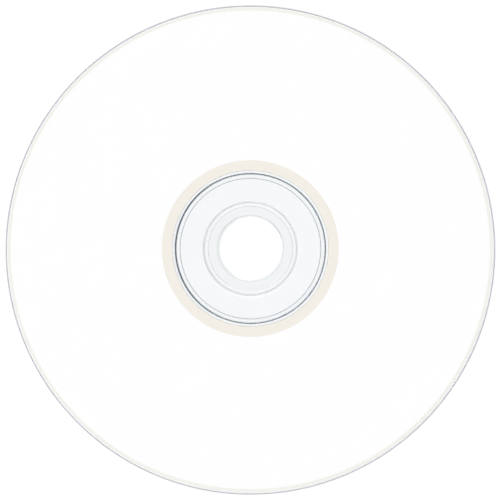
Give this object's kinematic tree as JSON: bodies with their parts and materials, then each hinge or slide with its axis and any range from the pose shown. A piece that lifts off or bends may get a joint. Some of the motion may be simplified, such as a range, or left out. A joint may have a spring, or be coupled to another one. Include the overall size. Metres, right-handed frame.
{
  "type": "compact disc",
  "caption": "Flat round recordable compact disc with a centre hole, clear moulded hub, mirror read side and plain white printable label side.",
  "frame": {"origin": "on the disc's axis, in the plane of the stacking ring's foot, on which the disc lies", "axes": "+Z along the axis of the centre hole, out of the label side; the disc is round about Z, so X and Y are any two directions across it"},
  "size_m": [0.12, 0.12, 0.0014],
  "materials": {
    "clear_polycarbonate": "clear, moulded smooth",
    "mirror_film": "mirror",
    "cream_undercoat": "satin lacquer",
    "white_print_coat": "matt, fine grained"
  },
  "bodies": {
    "root": {"substrate": "clear_polycarbonate", "reflective_layer": "mirror_film", "base_coat": "cream_undercoat", "print_coat": "white_print_coat"}
  },
  "joints": []
}
